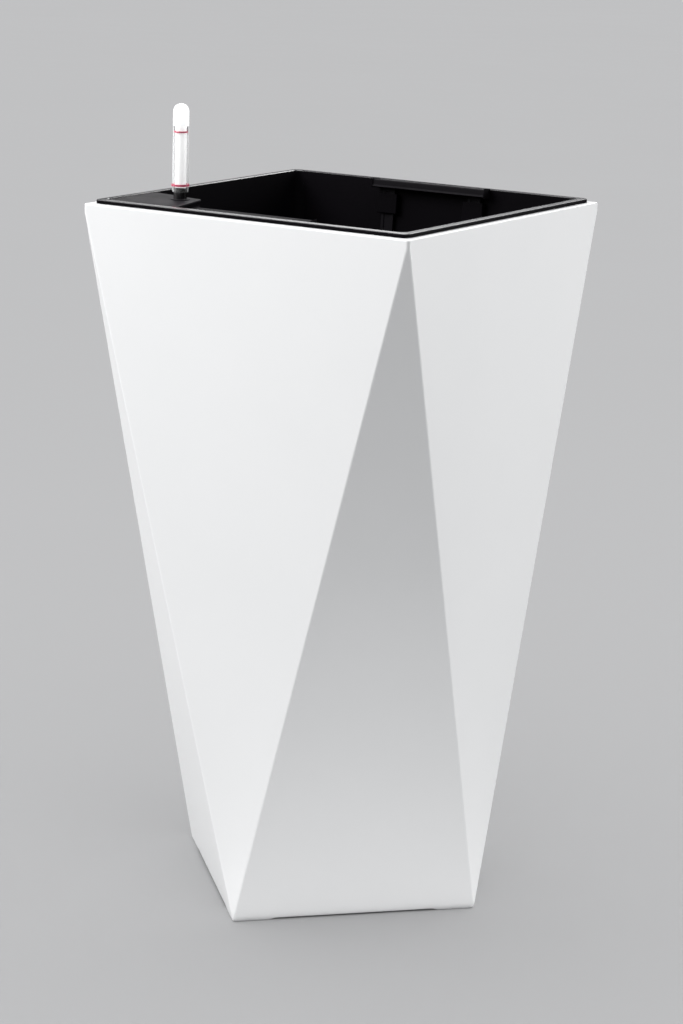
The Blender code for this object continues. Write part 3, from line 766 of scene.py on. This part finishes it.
# ---------------------------------------------------------------- separator, legs and cups
def separator():
    """Plate with a skirt, countersunk air holes, the shaft's opening and a rib under each cup hole."""
    half = INNER_BASE + WALL_SLOPE * (SEPARATOR_TOP - SKIRT - FLOOR - LINER_ROUND) - 0.001
    corner, wall = 0.0265, 0.002
    foot = SEPARATOR_TOP - SKIRT
    under = SEPARATOR_TOP - PLATE
    rows = [((half - wall, under, corner - wall), 0.0010), ((half - wall, foot, corner - wall), 0.0006),
            ((half, foot, corner), 0.0006), ((half, SEPARATOR_TOP, corner), 0.0012)]
    points = [(half - 0.03, under, 0.01)] + [row[0] for row in rows] + [(half - 0.03, SEPARATOR_TOP, 0.01)]
    profile = rounded(points, [0] + [row[1] for row in rows] + [0], EDGE_STEPS, closed=False)[1:-1]
    plate = loft([square_ring(h, z, c) for h, z, c in profile])
    above, mouth, throat = SEPARATOR_TOP + 0.01, CUP_RADIUS + 0.0010, CUP_RADIUS + 0.0005
    cup_hole = [(0, above, 0), (mouth, above, 0), (mouth, SEPARATOR_TOP, 0),
                (throat, SEPARATOR_TOP - 0.0005, 0), (throat, under - 0.01, 0), (0, under - 0.01, 0)]
    air_hole = [(0, above, 0), (0.0044, above, 0), (0.0044, SEPARATOR_TOP, 0),
                (0.0035, SEPARATOR_TOP - 0.0009, 0), (0.0035, under - 0.003, 0), (0, under - 0.003, 0)]
    holes = [turned(cup_hole, place, closed=False) for place in cup_places()]
    holes += [turned(air_hole, place, closed=False, steps=32) for place in air_hole_places()]
    shaft_hole = loft([outline_ring(SHAFT_FOOT, SHAFT_FOOT_RADII, -0.0008, z)
                       for z in (SEPARATOR_TOP - 0.03, SEPARATOR_TOP + 0.03)])
    holes.append(shaft_hole)
    near, far = CUP_RADIUS + 0.0065, CUP_RADIUS + 0.0080
    rib = [(near, under + 0.0005, 0), (far, under + 0.0005, 0),
           (far, under - 0.0030, 0.0004), (near, under - 0.0030, 0.0004)]
    ribs = [turned(rib, place) for place in cup_places()]
    body = combined(plate, ("UNION", together(*ribs)), ("DIFFERENCE", together(*holes)))
    piece("separator_plate", body, "separator_grey", "separator_set", ["separator"])


def cup_places():
    return [(x * CUP_OFFSET, y * CUP_OFFSET) for x in (-1, 1) for y in (-1, 1)]


def air_hole_places():
    places = [(0, 0)]
    for reach in (0.022, 0.044, 0.066, 0.088):
        places += [(reach, 0), (0, reach), (-reach, 0), (0, -reach)]
    return places


def separator_legs():
    """Tapered legs, each with a wide head and a flared foot."""
    top = SEPARATOR_TOP - PLATE - FIT
    foot = FLOOR + FIT
    places = ((LEG_REACH, 0), (0, LEG_REACH), (-LEG_REACH, 0), (0, -LEG_REACH))
    for index, place in enumerate(places, start=1):
        rows = [(0, top, 0), (0.0100, top, 0.0005), (0.0098, top - 0.003, 0.0010),
                (0.0080, top - 0.006, 0.0030), (0.0062, foot + 0.006, 0.0020),
                (0.0070, foot + 0.003, 0.0008), (0.0070, foot, 0.0006), (0, foot, 0)]
        piece(f"separator_foot_{index}", turned(rows, place, closed=False, steps=48), "separator_grey",
              "separator_set", [f"separator_leg_{index}"])


def soil_cups():
    """Baskets with a flange, slit sides and a ring of slits through the floor."""
    radius, wall = CUP_RADIUS, 0.0015
    seat = CUP_TOP - 0.0015
    foot_radius = radius - 0.005
    rows = [(0, CUP_FOOT + wall, 0), (foot_radius - wall, CUP_FOOT + wall, 0.0008),
            (radius - wall, CUP_TOP, 0.0006), (radius + 0.0045, CUP_TOP, 0.0005),
            (radius + 0.0045, seat, 0.0004), (radius, seat, 0.0003), (foot_radius, CUP_FOOT, 0.0012),
            (0, CUP_FOOT, 0)]
    for index, (x, y) in enumerate(cup_places(), start=1):
        steps = []
        for turn in range(3):
            slit = block((-0.03, -0.0015, CUP_FOOT - 0.003), (0.03, 0.0015, CUP_FOOT + 0.027), 0)
            spin = Matrix.Translation((x, y, 0)) @ Matrix.Rotation(turn * math.pi / 3 + 0.13, 4, "Z")
            steps.append(("DIFFERENCE", placed(slit, spin)))
        cup = combined(turned(rows, (x, y)), *steps)
        piece(f"soil_basket_{index}", cup, "separator_grey", "separator_set", [f"soil_cup_{index}"])


# ---------------------------------------------------------------- corner shaft and its cover
def blend_outline(share):
    """The shaft's outline, from its foot at 0 to its mouth at 1."""
    mouth = inset(COVER, SHAFT_MOUTH_INSET)
    corners = [Vector(foot).lerp(top, share) for foot, top in zip(SHAFT_FOOT, mouth)]
    radii = [foot * (1 - share) + max(top - SHAFT_MOUTH_INSET, 0.0012) * share
             for foot, top in zip(SHAFT_FOOT_RADII, COVER_RADII)]
    return corners, radii


def supply_shaft():
    """Thin channel for the filling water, flared at its mouth, with two inlets at its foot."""
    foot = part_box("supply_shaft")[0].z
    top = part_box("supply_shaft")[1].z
    flare_start, flare_end = RIM_TOP - 0.055, RIM_TOP - 0.014
    outside, inside = [], []
    levels = [(0, foot, 0.0006), (0, foot + 0.0006, 0), (0, flare_start, 0)]
    for step in range(1, 9):
        share = step / 8
        levels.append((share * share * (3 - 2 * share), flare_start + (flare_end - flare_start) * share, 0))
    levels += [(1, top - 0.0006, 0), (1, top - 0.0002, 0.0002), (1, top, 0.0006)]
    for share, height, edge in levels:
        corners, radii = blend_outline(share)
        outside.append(outline_ring(corners, radii, edge, height))
        thinner = [max(radius, SHAFT_WALL + 0.0006) for radius in radii]
        inside.append(outline_ring(corners, thinner, SHAFT_WALL - edge, height))
    slots = []
    for low, high in (((-0.135, -0.115), (-0.120, -0.100)), ((-0.115, -0.135), (-0.100, -0.120))):
        slots.append(block((*low, foot - 0.012), (*high, FLOOR + 0.020), 0.002))
    shaft = combined(loft(outside + inside[::-1], loop=True), ("DIFFERENCE", together(*slots)))
    # The shaft takes the darker inside finish as painted shade.
    piece("fill_shaft", shaft, "liner_black", "separator_set", ["supply_shaft"], look="liner_inside_painted_shade")


def shaft_cover():
    """Flush plate with a rounded rim, a plug-in skirt and the gauge's socket."""
    under = COVER_TOP - COVER_THICKNESS
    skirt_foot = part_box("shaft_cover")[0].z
    plate = prism(COVER, COVER_RADII, under, COVER_TOP, 0.0009)
    clearance = SHAFT_MOUTH_INSET + SHAFT_WALL + 0.0006
    wall = 0.0015
    profile = rounded([(clearance, under + 0.001), (clearance, under - 0.006),
                       (clearance + wall, under - 0.006), (clearance + wall, under + 0.001)],
                      [0, 0.0005, 0.0005, 0], 3, closed=False)
    skirt = loft([outline_ring(COVER, (0.0095, 0.0056, 0.0086, 0.0056), distance, height)
                  for distance, height in profile], loop=True)
    hole = 0.0093
    socket = turned([(0, COVER_TOP - 0.001, 0), (0.0115, COVER_TOP - 0.001, 0), (0.0115, skirt_foot, 0.0008),
                     (0, skirt_foot, 0)], GAUGE, closed=False)
    opening = turned([(0, COVER_TOP + 0.01, 0), (hole + 0.0004, COVER_TOP + 0.01, 0),
                      (hole + 0.0004, COVER_TOP, 0), (hole, COVER_TOP - 0.0004, 0),
                      (hole, skirt_foot - 0.01, 0), (0, skirt_foot - 0.01, 0)], GAUGE, closed=False)
    cover = combined(plate, ("UNION", skirt), ("UNION", socket), ("DIFFERENCE", opening))
    piece("corner_cover", cover, "liner_black", "cover", ["shaft_cover"], look="liner_plate")


# ---------------------------------------------------------------- water level gauge
def gauge():
    collar = COVER_TOP + FIT
    neck, bore = 0.0071, 0.0063
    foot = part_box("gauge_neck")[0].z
    rows = [(bore, NECK_TOP, 0.0002), (neck - 0.0002, NECK_TOP, 0.0003), (neck, NECK_TOP - 0.0010, 0.0006),
            (neck, collar + 0.0006, 0.0003), (0.0101, collar + 0.0005, 0.0002),
            (0.0101, collar, 0.0001), (neck, collar, 0.0001), (neck, collar - 0.014, 0.0002),
            (neck - 0.0003, foot, 0.0002), (bore, foot, 0.0001)]
    piece("gauge_collar", turned(rows, GAUGE), "liner_black", "gauge", ["gauge_neck"], look="liner_gloss",
          areas=[("liner_plate", lambda polygon: polygon.center.z < COVER_TOP + 0.0011)])

    outer, inner = 0.0088, 0.0074
    tube = turned([(inner, GUIDE_TOP, 0.0003), (outer, GUIDE_TOP, 0.0003), (outer, GUIDE_FOOT, 0.0004),
                   (inner, GUIDE_FOOT, 0.0003)], GAUGE, steps=56)
    slots = []
    for turn in range(4):
        slot = block((0.004, -0.002, GUIDE_FOOT + 0.006), (0.015, 0.002, GUIDE_FOOT + 0.060), 0.0015)
        slots.append(placed(slot, Matrix.Translation((*GAUGE, 0))
                            @ Matrix.Rotation(math.pi / 4 + turn * math.pi / 2, 4, "Z")))
    piece("float_guide", combined(tube, ("DIFFERENCE", together(*slots))), "liner_black", "gauge",
          ["gauge_guide_tube"])
    gauge_tube()
    gauge_marks()


def gauge_tube():
    """Clear tube: dome at its top, a faint taper, and a chamfered foot that slips over the neck."""
    top_radius, foot_radius, wall, bore = 0.0084, 0.0088, 0.0008, 0.0078
    frost_foot = MAX_MARK + 0.0064
    frost_top = TUBE_TOP - 0.0012
    dome = 12
    rows = []
    for step in range(dome + 1):
        angle = math.pi / 2 * step / dome
        rows.append((top_radius * math.sin(angle), TUBE_TOP - top_radius * (1 - math.cos(angle)), 0))
    rows += [(top_radius + 0.0001, frost_foot, 0), (foot_radius, MIN_MARK - 0.0022, 0.0006),
             (bore + 0.0003, TUBE_FOOT, 0.0001), (bore, TUBE_FOOT, 0.0001), (bore, frost_foot, 0)]
    for step in range(dome + 1):
        angle = math.pi / 2 * step / dome
        rows.append(((top_radius - wall) * math.cos(angle),
                     TUBE_TOP - top_radius + (top_radius - wall) * math.sin(angle), 0))
    # The dome band takes the frosted finish, whose glow is painted light.
    piece("gauge_dome_tube", turned(rows, GAUGE, closed=False), "gauge_clear", "gauge", ["gauge_tube"],
          areas=[("gauge_dome", lambda polygon: frost_foot < polygon.center.z < frost_top)])


def gauge_marks():
    """The upper band sits inside the tube and has two small upright ticks; the lower one is round it."""
    low, high = 0.0064, 0.0076
    band = turned([(low, MAX_MARK + 0.0009, 0.0002), (high, MAX_MARK + 0.0009, 0.0002),
                   (high, MAX_MARK - 0.0009, 0.0002), (low, MAX_MARK - 0.0009, 0.0002)], GAUGE)
    ticks = []
    for turn in (math.radians(32.2), math.radians(212.2)):
        tick = block((low, -0.0011, MAX_MARK + 0.0004), (high - 0.0004, 0.0011, MAX_MARK + 0.0056), 0.0002)
        ticks.append(placed(tick, Matrix.Translation((*GAUGE, 0)) @ Matrix.Rotation(turn, 4, "Z")))
    piece("max_band", combined(band, ("UNION", together(*ticks))), "mark_red", "gauge", ["max_ring"],
          areas=[("mark_grey", lambda polygon: polygon.center.z > MAX_MARK + 0.0010)])
    low, high = 0.0090, 0.0094
    rows = [(low, MIN_MARK + 0.0012, 0.0002), (high, MIN_MARK + 0.0012, 0.0002),
            (high, MIN_MARK - 0.0012, 0.0002), (low, MIN_MARK - 0.0012, 0.0002)]
    piece("min_band", turned(rows, GAUGE), "mark_red", "gauge", ["min_ring"])


def float_pieces():
    """White rod, its stem and the float."""
    radius = 0.0060
    rows = [(0, ROD_TOP, 0), (0.0030, ROD_TOP, 0.0015), (radius, ROD_TOP - 0.0022, 0.0016),
            (radius, ROD_FOOT + 0.0008, 0.0003), (radius - 0.0006, ROD_FOOT, 0.0003), (0, ROD_FOOT, 0)]
    # The rod's white finish glows as painted light.
    piece("level_rod", turned(rows, GAUGE, closed=False), "rod_white", "float", ["indicator_rod"])
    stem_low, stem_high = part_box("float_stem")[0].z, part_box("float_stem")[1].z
    rows = [(0, stem_high, 0), (0.0012, stem_high, 0.0002), (0.0012, stem_low, 0.0002), (0, stem_low, 0)]
    piece("level_stem", turned(rows, GAUGE, closed=False, steps=24), "stem_steel", "float", ["float_stem"])
    radius = 0.0064
    rows = [(0, FLOAT_TOP, 0), (0.0024, FLOAT_TOP, 0.0002), (0.0028, FLOAT_TOP - 0.0006, 0.0003),
            (radius - 0.0008, FLOAT_TOP - 0.0006, 0.0014), (radius, FLOAT_TOP - 0.004, 0.002),
            (radius, FLOAT_FOOT + 0.003, 0.002), (radius - 0.0022, FLOAT_FOOT, 0.0012), (0, FLOAT_FOOT, 0)]
    piece("level_float", turned(rows, GAUGE, closed=False, steps=56), "float_foam", "float", ["float_body"])


# ---------------------------------------------------------------- studio
FLOOR_TONE = (0.50, 0.50, 0.505)
FLOOR_REACH = 60
SKY = (0.95, 0.97, 1.0, 1)
SKY_LIGHT = 0.19            # what the surroundings give as light
SKY_SHOWN = 0.56            # what they look like behind the floor's edge
WASH_SPREAD = math.radians(130)
WASH_POWER = 2.75
CAMERA_PLACE = (1.5811, -2.5047, 1.1284)
CAMERA_HEADING = math.radians(32.19)
CAMERA_PITCH = 0.23677
CAMERA_ROLL = 0.02694
CAMERA_LENS = 98.724        # millimetres, on a 36 mm wide sensor


def floor():
    """Large pale floor with a faint tone drift."""
    bm = bmesh.new()
    bmesh.ops.create_grid(bm, x_segments=8, y_segments=8, size=FLOOR_REACH)
    mesh = bpy.data.meshes.new("studio_floor")
    bm.to_mesh(mesh)
    bm.free()
    item = bpy.data.objects.new("studio_floor", mesh)
    bpy.context.scene.collection.objects.link(item)
    graph = Graph("studio_pale")
    graph.tone(graph.noise(0.6, 2), FLOOR_TONE, tuple(value * 1.02 for value in FLOOR_TONE))
    graph.link(graph.remap(graph.noise(3, 2), 0.60, 0.68), graph.shader.inputs["Roughness"])
    graph.settings(Specular_IOR_Level=0.1)
    mesh.materials.append(graph.material)
    return item


def light_group(name, stage, state):
    """What a light reaches: the floor alone (INCLUDE), or all but the floor (EXCLUDE)."""
    group = bpy.data.collections.new(name)
    group.objects.link(stage)
    group.collection_objects[0].light_linking.link_state = state
    return group


def softbox(name, place, target, width, height, power, group, spin=0.0):
    lamp = bpy.data.lights.new(name, "AREA")
    lamp.shape = "RECTANGLE"
    lamp.size = width
    lamp.size_y = height
    lamp.energy = power
    item = bpy.data.objects.new(name, lamp)
    bpy.context.scene.collection.objects.link(item)
    item.location = place
    aim = (Vector(target) - Vector(place)).to_track_quat("-Z", "Y")
    item.rotation_euler = (aim @ Quaternion((0, 0, 1), spin)).to_euler()
    item.visible_camera = False
    item.light_linking.receiver_collection = group


def floor_wash(group):
    """Even, wide light from above on the floor alone, out to its far edge."""
    lamp = bpy.data.lights.new("floor_wash", "SUN")
    lamp.angle = WASH_SPREAD
    lamp.energy = WASH_POWER
    item = bpy.data.objects.new("floor_wash", lamp)
    bpy.context.scene.collection.objects.link(item)
    item.light_linking.receiver_collection = group


def camera():
    """The photograph's viewing angle."""
    heading = Matrix.Rotation(CAMERA_HEADING, 3, "Z")
    forward = heading @ Vector((0, math.cos(CAMERA_PITCH), -math.sin(CAMERA_PITCH)))
    right = heading @ Vector((1, 0, 0))
    up = right.cross(forward)
    side = right * math.cos(CAMERA_ROLL) + up * math.sin(CAMERA_ROLL)
    top = up * math.cos(CAMERA_ROLL) - right * math.sin(CAMERA_ROLL)
    lens = bpy.data.cameras.new("photo_camera")
    lens.lens = CAMERA_LENS
    lens.sensor_width = 36
    lens.sensor_fit = "AUTO"
    lens.clip_start = 0.05
    lens.clip_end = 400
    item = bpy.data.objects.new("photo_camera", lens)
    bpy.context.scene.collection.objects.link(item)
    turn = Matrix((side, top, -forward)).transposed().to_4x4()
    item.matrix_world = Matrix.Translation(CAMERA_PLACE) @ turn
    bpy.context.scene.camera = item


def surroundings():
    """Even sky, brighter to the eye than as a light."""
    world = bpy.data.worlds.new("studio")
    world.use_nodes = True
    tree = world.node_tree
    shown, output = tree.nodes["Background"], tree.nodes["World Output"]
    light = tree.nodes.new("ShaderNodeBackground")
    for background, strength in ((shown, SKY_SHOWN), (light, SKY_LIGHT)):
        background.inputs["Color"].default_value = SKY
        background.inputs["Strength"].default_value = strength
    choice = tree.nodes.new("ShaderNodeMixShader")
    tree.links.new(tree.nodes.new("ShaderNodeLightPath").outputs["Is Camera Ray"], choice.inputs[0])
    tree.links.new(light.outputs["Background"], choice.inputs[1])
    tree.links.new(shown.outputs["Background"], choice.inputs[2])
    tree.links.new(choice.outputs["Shader"], output.inputs["Surface"])
    bpy.context.scene.world = world


def studio(stage):
    surroundings()
    planter = light_group("planter_light", stage, "EXCLUDE")
    ground = light_group("floor_light", stage, "INCLUDE")
    middle = (0, 0, 0.42)
    front, above = (0.295, -0.295, 0.0006), (0.295, -0.295, 1.0)
    softbox("key_left", (-1.72, -2.05, 2.8), middle, 2.0, 2.0, 107, planter)
    softbox("key_side", (-2.68, 0.0, 2.8), middle, 2.0, 2.0, 26, planter)
    softbox("low_side", (-3.0, -1.6, 1.0), middle, 2.0, 2.0, 31, planter)
    softbox("fill_right", (2.5, 1.75, 0.95), middle, 1.5, 1.9, 49, planter)
    softbox("overhead", (0.1, -0.1, 3.1), (0, 0, 0), 2.2, 2.2, 55, planter)
    softbox("back_strip", (-0.1, 3.0, 2.75), (0, 0, 0.85), 1.2, 0.3, 10, planter)
    softbox("front_card", front, above, 0.56, 0.56, 0.64, planter, math.pi / 4)
    softbox("far_card", (-4.4, 10.0, 4.5), (-4.4, 10.0, 0), 8.0, 7.0, 440, planter)
    floor_wash(ground)
    bpy.context.scene.view_settings.view_transform = "Standard"
    bpy.context.scene.view_settings.look = "None"


shell()
shell_plug()
liner()
liner_plug()
for wall, heading in (("back", 0.0), ("front", math.pi)):
    handle(wall, heading)
    handle_guides(wall, heading)
separator()
separator_legs()
soil_cups()
supply_shaft()
shaft_cover()
gauge()
float_pieces()
studio(floor())
camera()
